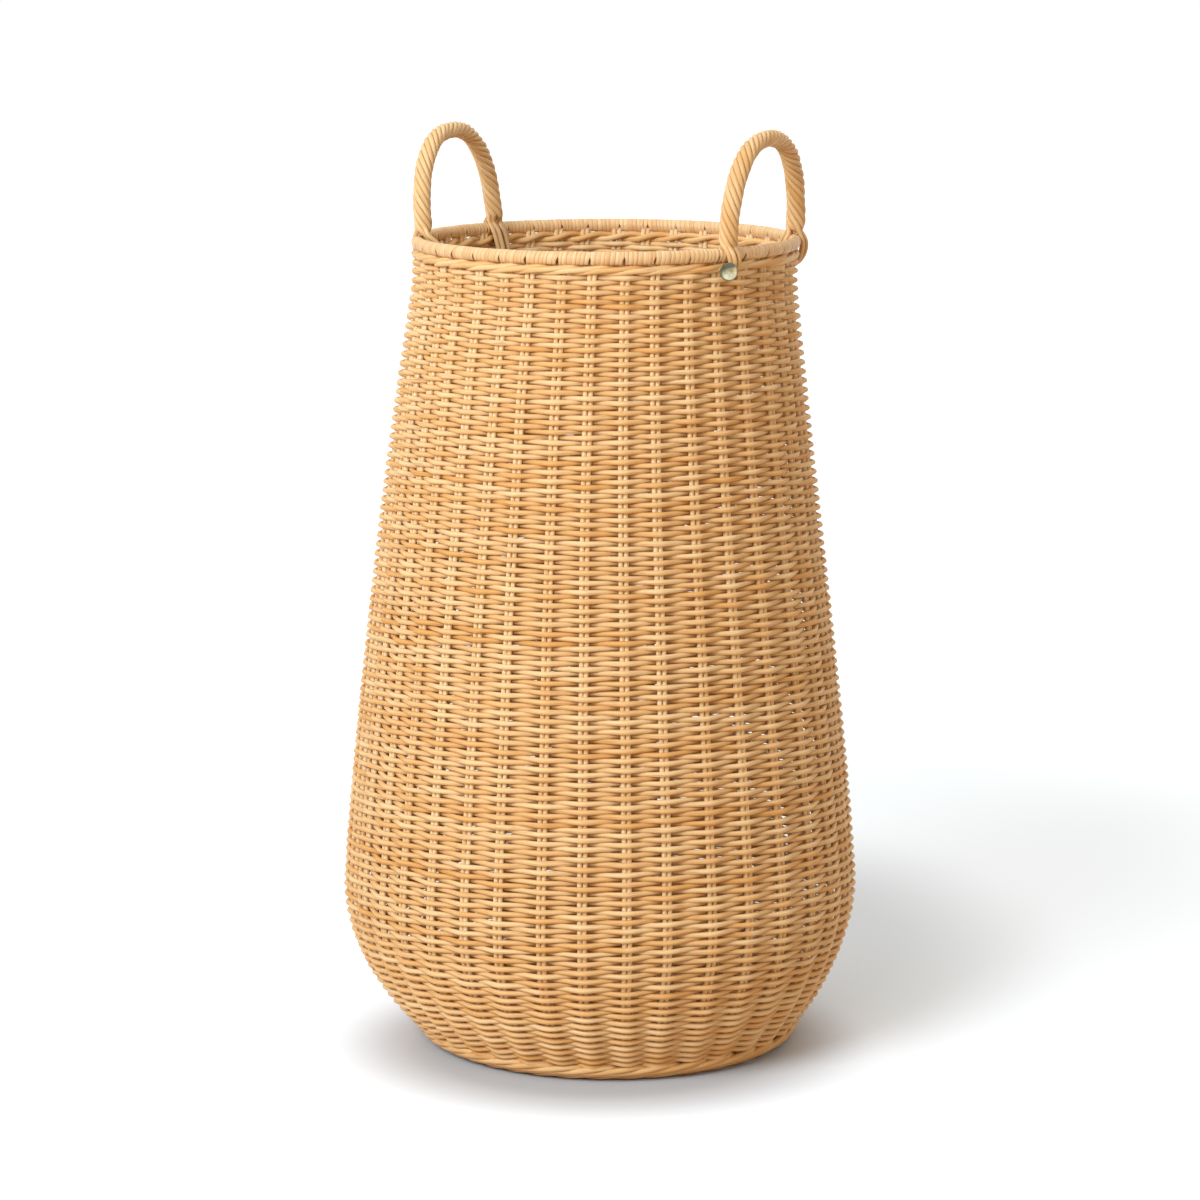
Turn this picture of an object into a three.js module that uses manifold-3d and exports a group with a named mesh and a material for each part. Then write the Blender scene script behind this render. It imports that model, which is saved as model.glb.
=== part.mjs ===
import * as THREE from 'three';
import { mergeVertices } from 'three/addons/utils/BufferGeometryUtils.js';
import Module from 'manifold-3d';

// Tall rattan laundry basket with a round belly, a wrapped rim and two roped handles.
// Millimetres, +Z up, the front is -Y. The origin is on the floor under the belly's axis.
// A bearing is an angle in degrees from the front, positive towards +X.

// Outer shape of the woven body
const footRadius = 133.3;
const bellyRadius = 191.8;
const bellyHeight = 120;
const neckRadius = 141.2;
const rimHeight = 600;
const wallThickness = 11.4;
const bodyCurve = 1.2; // exponent of the body's taper, 1 is a straight cone
const footShift = 7; // a handmade lean: the foot's centre lies this far to the right
const footShiftHeight = 90;
const rimShift = 4.4;
const rimShiftHeight = 240;

// Upright stakes, in pairs, hand spaced
const pairCount = 38;
const rodDiameter = 3.4;
const rodGap = 0.6;
const pairStart = 1.1; // bearing of the first pair before the drift
const pairDrift = -5; // the pairs drift this far to the left at the front
const pairWobble = 0.4;
const wobbleTurn = 2.4; // radians from one pair to the next
const clearance = 0.3;

// Openings in the wall: a plain grid, with a pair of stakes passing through each
const openingSide = 5; // open width on each side of a pair
const openingHeight = 24;
const openingSpacing = 80; // the least distance from one row of openings to the next
const openingStep = 2; // every second pair passes through openings

// Foot, base, wale and rim
const footHeight = 12;
const footWidth = 15.3;
const footRoll = 5.5; // height at which the foot's roll bulges out
const baseThickness = 9;
const baseWindowRadius = 24;
const crossWidth = 20;
const crossThickness = 3.4;
const crossLength = 236;
const neckLength = 18;
const waleHeight = 8;
const waleProud = 1.4;
const rimDiameter = 8.6;
const rimOutset = 2; // the rim sits a little outside the middle of the wall
const hoopDiameter = 5.8;
const lashingThickness = 1.1;
const lashingGapAngle = 70; // the wrap is open below, where it goes through the weave

// Handles
const handleSpread = 27.7; // bearing from the middle of a handle to its foot
const handleRise = 72.7;
const handleRoundness = 2.41; // exponent of the arch, 2 is an ellipse
const handleDiameter = 12;
const handleCoreDiameter = 5.6;
const tailWidth = 12; // strands that pass beside the rim at a foot
const tailThickness = 3.2;
const tailLength = 17; // how far they reach below the wale's top
const shoulderHeight = 12;
const tailTurn = -1.2; // the outer strands come down this far to the left of a foot
const handles = [
  { side: 'left', bearing: -113.2, legOffset: -2.8, lean: 6.8 },
  { side: 'right', bearing: 65.8, legOffset: 3.0, lean: 3.6 },
];

// Badge on the right handle's front foot
const badgeDiameter = 13.6;
const badgeThickness = 1.2;
const badgeCrown = 1.1;
const badgePinDiameter = 1.6;
const badgeDrop = 15.4; // below the rim's top
const badgeTurn = -2.1; // bearing from the foot's middle
const badgeFacing = -16; // its face turns this far from its own bearing, towards the front

// Fineness of the faceted solids
const bowlSteps = 4;
const bodySteps = 4;
const bodyStepGrowth = 1.35; // the steps are closer near the belly
const handleSteps = 16;
const handleSides = 8;
const badgeSides = 20;
const hoopSides = 6;

const degree = Math.PI / 180;
const pairPitch = 360 / pairCount;
const pairWidth = 2 * rodDiameter + rodGap;
const wallMidRadius = neckRadius - wallThickness / 2;
const hoopRadius = wallMidRadius + rimOutset;
const hoopHeight = rimHeight - rimDiameter / 2;
const waleTop = rimHeight - rimDiameter - clearance;
const waleBottom = waleTop - waleHeight;
const neckHeight = waleBottom - neckLength;
const baseTop = footHeight + baseThickness;

const rattan = (color, roughness) => new THREE.MeshStandardMaterial({ color, roughness, metalness: 0 });
const weaverMaterial = rattan(0xd9a86c, 0.6);
const stakeMaterial = rattan(0xe8c391, 0.6);
const peelMaterial = rattan(0xe6bf8a, 0.45);
const handleMaterial = rattan(0xe3b985, 0.5);
const footMaterial = rattan(0xc4925a, 0.65);
const brassMaterial = new THREE.MeshStandardMaterial({ color: 0xb9a06a, roughness: 0.35, metalness: 0.9 });

// Radius of the weave's outer face, and how steeply it changes, at a height
function outerRadius(height) {
  if (height < bellyHeight) {
    return bellyRadius - (bellyRadius - footRadius) * (1 - height / bellyHeight) ** 2;
  }
  const taper = Math.min((height - bellyHeight) / (neckHeight - bellyHeight), 1);
  return bellyRadius - (bellyRadius - neckRadius) * taper ** bodyCurve;
}

function slantFactor(height) {
  const step = 0.5;
  const slope = (outerRadius(height + step) - outerRadius(height - step)) / (2 * step);
  return Math.hypot(1, slope);
}

function centreShift(height) {
  const low = Math.max(1 - height / footShiftHeight, 0);
  const high = Math.max(1 - (rimHeight - height) / rimShiftHeight, 0);
  return footShift * low ** 2 + rimShift * Math.min(high, 1) ** 2;
}

function place(radius, bearing, height) {
  const turn = bearing * degree;
  return new THREE.Vector3(
    centreShift(height) + radius * Math.sin(turn), -radius * Math.cos(turn), height);
}

function pairBearing(index) {
  const even = index * pairPitch;
  return even + pairStart + pairDrift * Math.cos(even * degree) + pairWobble * Math.sin(wobbleTurn * index);
}

const bearings = Array.from({ length: pairCount }, (_, index) => pairBearing(index));

// How near the axis the flat stretches of a faceted wall come, between its corners at the pairs
function innerFlat(radius) {
  const gaps = bearings.map((bearing, index) => (bearings[(index + 1) % pairCount] - bearing + 360) % 360);
  return radius * Math.cos((Math.max(...gaps) / 2) * degree);
}

// A point beside a pair: across is along the wall, outwards is away from the axis
function besidePair(index, radius, across, outwards, height) {
  const turn = bearings[index] * degree;
  const point = place(radius + outwards, bearings[index], height);
  return point.add(new THREE.Vector3(Math.cos(turn) * across, Math.sin(turn) * across, 0));
}

// Triangles between two loops of points with the same count
function joinLoops(faces, lower, upper, count) {
  for (let side = 0; side < count; side += 1) {
    const next = (side + 1) % count;
    faces.push(lower + side, lower + next, upper + next, lower + side, upper + next, upper + side);
  }
}

function solidFrom(points, faces) {
  const geometry = new THREE.BufferGeometry().setFromPoints(points);
  let volume = 0;
  for (let corner = 0; corner < faces.length; corner += 3) {
    const [a, b, c] = [0, 1, 2].map((step) => points[faces[corner + step]]);
    volume += a.dot(b.clone().cross(c));
  }
  geometry.setIndex(volume < 0 ? faces.slice().reverse() : faces);
  geometry.computeVertexNormals();
  return geometry;
}

// Closed solid through loops of points, capped at both ends, or joined end to start
function loft(loops, endless = false) {
  const count = loops[0].length;
  const faces = [];
  for (let step = 0; step + 1 < loops.length; step += 1) {
    joinLoops(faces, step * count, (step + 1) * count, count);
  }
  const last = (loops.length - 1) * count;
  if (endless) {
    joinLoops(faces, last, 0, count);
  } else {
    for (let side = 1; side + 1 < count; side += 1) {
      faces.push(0, side + 1, side, last, last + side, last + side + 1);
    }
  }
  return solidFrom(loops.flat(), faces);
}

// Ring with a corner at each pair's bearing, from a section of [radius, height] points
function ring(section) {
  const loops = bearings.map((bearing) => section.map(([radius, height]) => place(radius, bearing, height)));
  return loft(loops, true);
}

// Woven ring with a channel for every pair, from levels of { height, outer, inner, middle, slant }
function wovenRing(levels) {
  const points = [];
  const faces = [];
  const half = pairWidth / 2 + clearance;
  const rowSize = pairCount * 6; // outer, inner and four channel corners for each pair
  const outerStart = 0;
  const innerStart = pairCount;
  const channelStart = 2 * pairCount;
  for (const { height, outer, inner, middle, slant } of levels) {
    const depth = (rodDiameter / 2 + clearance) * slant;
    const pairs = [...bearings.keys()];
    points.push(...pairs.map((index) => place(outer, bearings[index], height)));
    points.push(...pairs.map((index) => place(inner, bearings[index], height)));
    for (const index of pairs) {
      for (const [across, outwards] of [[-half, depth], [half, depth], [half, -depth], [-half, -depth]]) {
        points.push(besidePair(index, middle, across, outwards, height));
      }
    }
  }
  for (let level = 0; level + 1 < levels.length; level += 1) {
    const lower = level * rowSize;
    const upper = lower + rowSize;
    joinLoops(faces, lower + outerStart, upper + outerStart, pairCount);
    joinLoops(faces, upper + innerStart, lower + innerStart, pairCount);
    for (let index = 0; index < pairCount; index += 1) {
      const channel = channelStart + 4 * index;
      joinLoops(faces, upper + channel, lower + channel, 4);
    }
  }
  const cap = (row, order) => {
    for (let index = 0; index < pairCount; index += 1) {
      const next = (index + 1) % pairCount;
      const [outer, outerNext] = [outerStart + index, outerStart + next];
      const [inner, innerNext] = [innerStart + index, innerStart + next];
      const [leftOut, rightOut, rightIn, leftIn] = [0, 1, 2, 3].map((corner) => channelStart + 4 * index + corner);
      const [leftOutNext, leftInNext] = [channelStart + 4 * next, channelStart + 4 * next + 3];
      const triangles = [
        [outer, rightOut, leftOut], [inner, leftIn, rightIn],
        [outer, leftOutNext, rightOut], [outer, outerNext, leftOutNext],
        [rightOut, leftInNext, rightIn], [rightOut, leftOutNext, leftInNext],
        [rightIn, innerNext, inner], [rightIn, leftInNext, innerNext],
      ];
      triangles.forEach((triangle) => faces.push(...order(triangle).map((corner) => row + corner)));
    }
  };
  cap(0, ([a, b, c]) => [a, c, b]);
  cap((levels.length - 1) * rowSize, (triangle) => triangle);
  return solidFrom(points, faces);
}

function wallLevel(height) {
  const slant = slantFactor(height);
  const outer = outerRadius(height);
  return {
    height, slant, outer,
    inner: outer - wallThickness * slant,
    middle: outer - (wallThickness / 2) * slant,
  };
}

// Heights at which the wall bends
const bowlHeights = Array.from({ length: bowlSteps + 1 },
  (_, step) => footHeight + ((bellyHeight - footHeight) * step) / bowlSteps);
const bodyHeights = Array.from({ length: bodySteps + 1 },
  (_, step) => bellyHeight + (neckHeight - bellyHeight) * (step / bodySteps) ** bodyStepGrowth);
const bodyMiddle = bodySteps / 2;
const wallHeights = [...bowlHeights, ...bodyHeights.slice(1), waleBottom];

// A height between two bends takes its place on the straight line that joins them
function straightLevel(height) {
  const above = Math.max(wallHeights.findIndex((bend) => bend >= height), 1);
  const [low, high] = [wallLevel(wallHeights[above - 1]), wallLevel(wallHeights[above])];
  const share = (height - low.height) / (high.height - low.height);
  const mix = (key) => low[key] + (high[key] - low[key]) * share;
  return { height, slant: mix('slant'), outer: mix('outer'), inner: mix('inner'), middle: mix('middle') };
}

function sidingBand(bends) {
  const heights = [bends[0] + clearance / 2, ...bends.slice(1, -1), bends[bends.length - 1] - clearance / 2];
  return wovenRing(heights.map(straightLevel));
}

function topWale() {
  const wall = wallLevel(waleBottom);
  const level = (height) => ({ ...wall, height, outer: wall.outer + waleProud });
  return wovenRing([level(waleBottom + clearance / 2), level(waleTop)]);
}

// One pair of stakes, side by side, from the foot's roll up to the rim
function stakePair(index) {
  const top = { ...wallLevel(waleBottom), height: waleTop };
  const levels = [straightLevel(footHeight + clearance / 2), ...wallHeights.slice(1).map(wallLevel), top];
  const half = pairWidth / 2;
  return loft(levels.map(({ height, middle, slant }) => {
    const depth = (rodDiameter / 2) * slant;
    const corners = [[-half, depth], [half, depth], [half, -depth], [-half, -depth]];
    return corners.map(([across, outwards]) => besidePair(index, middle, across, outwards, height));
  }));
}

function footBorder() {
  const top = footHeight - clearance / 2;
  const inner = footRadius - footWidth;
  return ring([
    [inner, 0], [footRadius, 0], [outerRadius(footRoll), footRoll], [outerRadius(top), top], [inner, top],
  ]);
}

function arcSection(radius, from, to, steps) {
  return Array.from({ length: steps + 1 }, (_, step) => {
    const turn = (from + ((to - from) * step) / steps) * degree;
    return [hoopRadius + radius * Math.cos(turn), hoopHeight + radius * Math.sin(turn)];
  });
}

function rimHoop() {
  return ring(arcSection(hoopDiameter / 2, 0, 360 - 360 / hoopSides, hoopSides - 1));
}

// The wrap goes over the hoop from one side of the wale to the other
function rimLashing() {
  const outer = rimDiameter / 2;
  const inner = outer - lashingThickness;
  const from = -90 + lashingGapAngle / 2;
  const to = 270 - lashingGapAngle / 2;
  return ring([...arcSection(outer, from, to, 5), ...arcSection(inner, to, from, 5)]);
}

const wasm = await Module();
wasm.setup();

function toSolid(geometry) {
  const bare = geometry.clone();
  bare.deleteAttribute('normal');
  bare.deleteAttribute('uv');
  const merged = mergeVertices(bare);
  return new wasm.Manifold(new wasm.Mesh({
    numProp: 3,
    vertProperties: new Float32Array(merged.attributes.position.array),
    triVerts: new Uint32Array(merged.index.array),
  }));
}

function toGeometry(solid) {
  const { vertProperties, triVerts } = solid.getMesh();
  const geometry = new THREE.BufferGeometry();
  geometry.setAttribute('position', new THREE.BufferAttribute(new Float32Array(vertProperties), 3));
  geometry.setIndex([...triVerts]);
  geometry.computeVertexNormals();
  return geometry;
}

// A level band of the wall with its openings
function openBand(bends) {
  const [bottom, top] = [bends[0], bends[bends.length - 1]];
  const rows = Math.max(Math.floor((top - bottom) / openingSpacing), 1);
  const width = pairWidth + 2 * (clearance + openingSide);
  let solid = toSolid(sidingBand(bends));
  for (let row = 0; row < rows; row += 1) {
    const height = bottom + ((row + 0.5) * (top - bottom)) / rows;
    for (let index = 0; index < pairCount; index += openingStep) {
      const centre = place(straightLevel(height).middle, bearings[index], height);
      const cut = new THREE.BoxGeometry(width, 3 * wallThickness, openingHeight)
        .rotateZ(bearings[index] * degree)
        .translate(centre.x, centre.y, centre.z);
      solid = solid.subtract(toSolid(cut));
    }
  }
  return toGeometry(solid);
}

function boxAt(width, depth, height, centre) {
  return new THREE.BoxGeometry(width, depth, height).translate(centre.x, centre.y, centre.z);
}

function cylinderAt(radius, sides, from, to) {
  const length = from.distanceTo(to);
  const geometry = new THREE.CylinderGeometry(radius, radius, length, sides);
  const up = new THREE.Vector3(0, 1, 0);
  const turn = new THREE.Quaternion().setFromUnitVectors(up, to.clone().sub(from).normalize());
  const middle = from.clone().add(to).multiplyScalar(0.5);
  return geometry.applyQuaternion(turn).translate(middle.x, middle.y, middle.z);
}

// Base: two crossed bundles of sticks, held by a woven disc with a window over the crossing
const crossGap = (baseThickness - 2 * crossThickness) / 3;
const baseCentre = place(0, 0, footHeight);
const baseRadius = innerFlat(wallLevel(footHeight).inner) - clearance;

function crossBundle(upper, margin) {
  const height = upper ? baseTop - crossGap - crossThickness / 2 : footHeight + crossGap + crossThickness / 2;
  const [width, depth] = upper ? [crossWidth, crossLength] : [crossLength, crossWidth];
  const centre = new THREE.Vector3(baseCentre.x, baseCentre.y, height);
  return boxAt(width + 2 * margin, depth + 2 * margin, crossThickness + 2 * margin, centre);
}

function baseWeave() {
  const at = (height) => new THREE.Vector3(baseCentre.x, baseCentre.y, height);
  const disc = cylinderAt(baseRadius, pairCount, at(footHeight + clearance / 2), at(baseTop));
  const window = cylinderAt(baseWindowRadius, pairCount, at(0), at(baseTop + footHeight));
  let solid = toSolid(disc).subtract(toSolid(window));
  for (const upper of [false, true]) {
    solid = solid.subtract(toSolid(crossBundle(upper, clearance)));
  }
  return toGeometry(solid);
}

// A handle's arch stands on the rim and leans outwards towards its top
function handleCurve({ bearing, legOffset, lean }, reach = 0) {
  const legRadius = wallMidRadius + legOffset;
  const bottom = rimHeight + clearance;
  const out = new THREE.Vector3(Math.sin(bearing * degree), -Math.cos(bearing * degree), 0);
  const along = new THREE.Vector3(-out.y, out.x, 0);
  const middle = out.clone().multiplyScalar(legRadius * Math.cos(handleSpread * degree));
  middle.x += rimShift;
  const halfChord = legRadius * Math.sin(handleSpread * degree);
  const points = [];
  for (let step = 0; step <= 4 * handleSteps; step += 1) {
    const turn = (Math.PI * step) / (4 * handleSteps);
    const across = -Math.sign(Math.cos(turn)) * Math.abs(Math.cos(turn)) ** (2 / handleRoundness);
    const rise = Math.sin(turn) ** (2 / handleRoundness);
    points.push(middle.clone()
      .addScaledVector(along, across * halfChord)
      .addScaledVector(out, lean * rise)
      .setZ(bottom + handleRise * rise));
  }
  if (reach > 0) {
    const below = new THREE.Vector3(0, 0, -reach);
    points.unshift(points[0].clone().add(below));
    points.push(points[points.length - 1].clone().add(below));
  }
  return new THREE.CatmullRomCurve3(points);
}

function archTube(curve, radius) {
  const frames = curve.computeFrenetFrames(handleSteps);
  const loops = Array.from({ length: handleSteps + 1 }, (_, step) => {
    const centre = curve.getPointAt(step / handleSteps);
    return Array.from({ length: handleSides }, (unused, side) => {
      const turn = (2 * Math.PI * side) / handleSides;
      const point = centre.clone()
        .addScaledVector(frames.normals[step], radius * Math.cos(turn))
        .addScaledVector(frames.binormals[step], radius * Math.sin(turn));
      return step % handleSteps === 0 ? point.setZ(centre.z) : point;
    });
  });
  return loft(loops);
}

// The neck's axis leans away from the rim's by a little over the tails' length
const tailTip = waleTop - tailLength;
const tailSlack = clearance + rimShift - centreShift(tailTip);
const outerTailFace = Math.max(hoopRadius + rimDiameter / 2, neckRadius + waleProud) + tailSlack;
const innerTailFace = innerFlat(neckRadius - wallThickness) - tailSlack;

// Strands that leave a leg, pass beside the rim and lie on the wall below it
function handleTail(legRadius, bearing, outwards) {
  const seat = rimHeight + clearance;
  const way = outwards ? 1 : -1;
  const face = outwards ? outerTailFace : innerTailFace;
  const back = face + way * tailThickness;
  const root = legRadius - (way * handleCoreDiameter) / 2;
  const shoulder = legRadius + way * (handleDiameter / 2 - clearance);
  const outline = new THREE.Shape([
    [root, seat], [face, seat], [face, tailTip], [back, tailTip], [back, seat],
    [shoulder, seat + shoulderHeight], [root, seat + shoulderHeight],
  ].map(([radius, height]) => new THREE.Vector2(radius, height)));
  const geometry = new THREE.ExtrudeGeometry(outline, { depth: tailWidth, bevelEnabled: false });
  geometry.translate(0, 0, -tailWidth / 2);
  const turn = bearing * degree;
  const out = new THREE.Vector3(Math.sin(turn), -Math.cos(turn), 0);
  const up = new THREE.Vector3(0, 0, 1);
  geometry.applyMatrix4(new THREE.Matrix4().makeBasis(out, up, out.clone().cross(up)));
  return geometry.translate(rimShift, 0, 0);
}

const badgeBearing = handles[1].bearing - handleSpread + badgeTurn;
const badgeLift = (badgeDiameter / 2) * Math.sin(Math.abs(badgeFacing) * degree);
const badgeSeat = outerTailFace + tailThickness + clearance + badgeLift; // clear of the turned edge
const badgePinEnd = badgeSeat - clearance - (badgePinDiameter / 2) * Math.tan(Math.abs(badgeFacing) * degree);

function badgePoint(radius) {
  const turn = badgeBearing * degree;
  return new THREE.Vector3(rimShift + radius * Math.sin(turn), -radius * Math.cos(turn), rimHeight - badgeDrop);
}

function handleStrands(handle) {
  const curve = handleCurve(handle);
  const legRadius = wallMidRadius + handle.legOffset;
  let solid = toSolid(archTube(curve, handleDiameter / 2));
  for (const side of [-1, 1]) {
    const foot = handle.bearing + side * handleSpread;
    solid = solid.add(toSolid(handleTail(legRadius, foot + tailTurn, true)));
    solid = solid.add(toSolid(handleTail(legRadius, foot, false)));
  }
  const bore = archTube(handleCurve(handle, tailThickness), handleCoreDiameter / 2 + clearance);
  solid = solid.subtract(toSolid(bore));
  if (handle.side === 'right') {
    const pinRadius = badgePinDiameter / 2 + clearance;
    const reach = tailThickness;
    const hole = cylinderAt(pinRadius, handleSides, badgePoint(outerTailFace - reach),
      badgePoint(outerTailFace + 2 * reach));
    solid = solid.subtract(toSolid(hole));
  }
  return toGeometry(solid);
}

// Plain domed disc, with a bare face
function badgeDisc() {
  const radius = badgeDiameter / 2;
  const profile = [
    [0, 0], [radius, 0], [radius, badgeThickness / 2], [0.8 * radius, badgeThickness],
    [0.45 * radius, badgeThickness + 0.7 * badgeCrown], [0, badgeThickness + badgeCrown],
  ];
  const geometry = new THREE.LatheGeometry(profile.map(([x, y]) => new THREE.Vector2(x, y)), badgeSides);
  const face = (badgeBearing + badgeFacing) * degree;
  const out = new THREE.Vector3(Math.sin(face), -Math.cos(face), 0);
  const seat = badgePoint(badgeSeat);
  const turn = new THREE.Quaternion().setFromUnitVectors(new THREE.Vector3(0, 1, 0), out);
  return geometry.applyQuaternion(turn).translate(seat.x, seat.y, seat.z);
}

function badgePin() {
  return cylinderAt(badgePinDiameter / 2, handleSides, badgePoint(outerTailFace), badgePoint(badgePinEnd));
}

const basket = new THREE.Group();

function addPiece(name, geometry, material) {
  const mesh = new THREE.Mesh(geometry, material);
  mesh.name = name;
  basket.add(mesh);
}

addPiece('foot_border', footBorder(), footMaterial);
addPiece('base_cross_lower', crossBundle(false, 0), stakeMaterial);
addPiece('base_cross_upper', crossBundle(true, 0), stakeMaterial);
addPiece('base_weave', baseWeave(), weaverMaterial);
for (let index = 0; index < pairCount; index += 1) {
  addPiece(`stake_pair_${String(index + 1).padStart(2, '0')}`, stakePair(index), stakeMaterial);
}
addPiece('siding_lower', sidingBand(bowlHeights), weaverMaterial);
addPiece('siding_middle', openBand(bodyHeights.slice(0, bodyMiddle + 1)), weaverMaterial);
addPiece('siding_upper', openBand([...bodyHeights.slice(bodyMiddle), waleBottom]), weaverMaterial);
addPiece('top_wale', topWale(), weaverMaterial);
addPiece('rim_hoop', rimHoop(), stakeMaterial);
addPiece('rim_lashing', rimLashing(), peelMaterial);
for (const handle of handles) {
  addPiece(`handle_core_${handle.side}`, archTube(handleCurve(handle), handleCoreDiameter / 2), stakeMaterial);
  addPiece(`handle_strands_${handle.side}`, handleStrands(handle), handleMaterial);
}
addPiece('badge_disc', badgeDisc(), brassMaterial);
addPiece('badge_pin', badgePin(), brassMaterial);

export default basket;
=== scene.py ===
import math

import bpy
import numpy as np
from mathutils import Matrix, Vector


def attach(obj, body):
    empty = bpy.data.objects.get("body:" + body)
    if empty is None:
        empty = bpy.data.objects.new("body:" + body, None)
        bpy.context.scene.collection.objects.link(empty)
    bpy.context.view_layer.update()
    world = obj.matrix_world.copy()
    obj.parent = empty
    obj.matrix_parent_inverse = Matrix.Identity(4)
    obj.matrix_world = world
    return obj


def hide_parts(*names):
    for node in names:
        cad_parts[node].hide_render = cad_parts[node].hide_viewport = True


# A tall rattan laundry basket with a round belly, a wrapped rim and two roped handles.
# Metres and degrees. +Z is up, the front is -Y, and a bearing turns from the front towards +X.
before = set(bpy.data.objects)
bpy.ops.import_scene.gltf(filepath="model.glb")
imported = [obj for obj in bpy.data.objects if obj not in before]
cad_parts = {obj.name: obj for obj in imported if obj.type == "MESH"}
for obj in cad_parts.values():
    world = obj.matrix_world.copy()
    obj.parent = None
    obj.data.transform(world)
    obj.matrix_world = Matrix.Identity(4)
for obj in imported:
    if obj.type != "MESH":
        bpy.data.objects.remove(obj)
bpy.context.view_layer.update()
degree = math.tau / 360  # in radians

print("camera")
camera = {
    "distance": 3.0, "height": 0.8628, "pitch": 0.176,  # downwards, in radians
    "lens": 123.4, "sensor": 36.0, "farthest": 100,
}


def makeCamera():
    bpy.ops.object.camera_add(
        location=(0, -camera["distance"], camera["height"]),
        rotation=(math.pi / 2 - camera["pitch"], 0, 0),
    )
    eye = bpy.context.active_object
    eye.data.lens = camera["lens"]
    eye.data.sensor_width = camera["sensor"]
    eye.data.clip_end = camera["farthest"]
    bpy.context.scene.camera = eye


makeCamera()

print("shape of the wall")
body = {
    "footRadius": 0.1333, "bellyRadius": 0.1918, "bellyHeight": 0.120,
    "neckRadius": 0.1412, "rimHeight": 0.600, "wall": 0.0114, "curve": 1.2,
    "footHeight": 0.012, "neckLength": 0.018, "waleHeight": 0.008, "clearance": 0.0003,
    "rimDiameter": 0.0086, "rimOutset": 0.002,
    # the foot and the rim lie a little to the right of the belly
    "footShift": 0.007, "footShiftHeight": 0.090, "rimShift": 0.0044, "rimShiftHeight": 0.240,
}
stakes = {
    "pairs": 38, "rodRadius": 0.0018, "gap": 0.0001,
    "start": 1.1, "drift": -5.0, "wobble": 0.4,  # the pairs don't stand quite evenly
    "wobbleTurn": 2.4,  # radians per pair
    "foot": 0.006, "top": 0.5935, "step": 0.009, "sides": 8,
    "waver": 0.00016, "waverPace": 60, "tone": (0.4, 0.25),
}
waleTop = body["rimHeight"] - body["rimDiameter"] - body["clearance"]
waleBottom = waleTop - body["waleHeight"]
neckHeight = waleBottom - body["neckLength"]
hoopRadius = body["neckRadius"] - body["wall"] / 2 + body["rimOutset"]
hoopHeight = body["rimHeight"] - body["rimDiameter"] / 2
pairs = stakes["pairs"]


def outerRadius(height):
    low = 1 - np.minimum(height, body["bellyHeight"]) / body["bellyHeight"]
    taper = np.clip((height - body["bellyHeight"]) / (neckHeight - body["bellyHeight"]), 0, 1)
    bowl = (body["bellyRadius"] - body["footRadius"]) * low ** 2
    neck = (body["bellyRadius"] - body["neckRadius"]) * taper ** body["curve"]
    return body["bellyRadius"] - bowl - neck


def wallSlope(height):
    probe = 0.0005
    return (outerRadius(height + probe) - outerRadius(height - probe)) / (2 * probe)


def centreShift(height):
    low = np.clip(1 - height / body["footShiftHeight"], 0, None)
    high = np.clip(1 - (body["rimHeight"] - height) / body["rimShiftHeight"], 0, 1)
    return body["footShift"] * low ** 2 + body["rimShift"] * high ** 2


def pairTable():
    even = np.arange(pairs) * 360 / pairs
    wobble = stakes["wobble"] * np.sin(stakes["wobbleTurn"] * np.arange(pairs))
    bearings = even + stakes["start"] + stakes["drift"] * np.cos(even * degree) + wobble
    return np.append(bearings, bearings[0] + 360)


pairBearings = pairTable()


def bearingAt(pair):
    rounds = np.floor(pair / pairs)
    return np.interp(pair - rounds * pairs, np.arange(pairs + 1), pairBearings) + 360 * rounds


def atRadius(radius, bearing, height):
    turn = bearing * degree
    radius, turn, height = np.broadcast_arrays(radius, turn, height)
    return np.stack([
        centreShift(height) + radius * np.sin(turn),
        -radius * np.cos(turn),
        height,
    ], axis=-1)


def wallNormal(bearing, height):
    slope = wallSlope(height)
    lean = np.hypot(1, slope)
    turn = bearing * degree
    parts = np.broadcast_arrays(np.sin(turn) / lean, -np.cos(turn) / lean, -slope / lean)
    return np.stack(parts, axis=-1)


def onWall(bearing, height, off=0):
    lean = np.hypot(1, wallSlope(height))
    middle = atRadius(outerRadius(height) - body["wall"] / 2 * lean, bearing, height)
    return middle + wallNormal(bearing, height) * np.asarray(off)[..., None]


# Smooth noise over any number of coordinates, a sum of seeded waves
def waves(*scaledCoordinates, seed, count):
    dice = np.random.default_rng(seed)
    total = 0
    for _ in range(count):
        phase = dice.uniform(0, math.tau)
        for coordinate in scaledCoordinates:
            phase = phase + coordinate * dice.uniform(0.5, 1.5) * dice.choice([-1, 1])
        total = total + np.sin(phase)
    return total / math.sqrt(count)


# The same, joined to itself after a full turn
def roundWaves(turn, pace, *more, seed, count):
    return waves(pace * np.sin(turn), pace * np.cos(turn), *more, seed=seed, count=count)


# Tones are given by their middle and spread, from 0 for pale to 1 for honey
def diceTone(dice, tone, deepest=1):
    return np.clip(dice.normal(*tone), 0, deepest)


rods = {
    "grainShift": 0.0137,  # moves the grain on by this much for each point made before
    "shadeFade": 2.0,  # how fast a rod's shade goes from its outside to its inside
    "grooveShade": 0.55, "grooveEdge": 0.55, "grooveBlur": 0.7,  # painted shade on the flanks, where rods touch
    "smoothAngle": 60,
}
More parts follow.
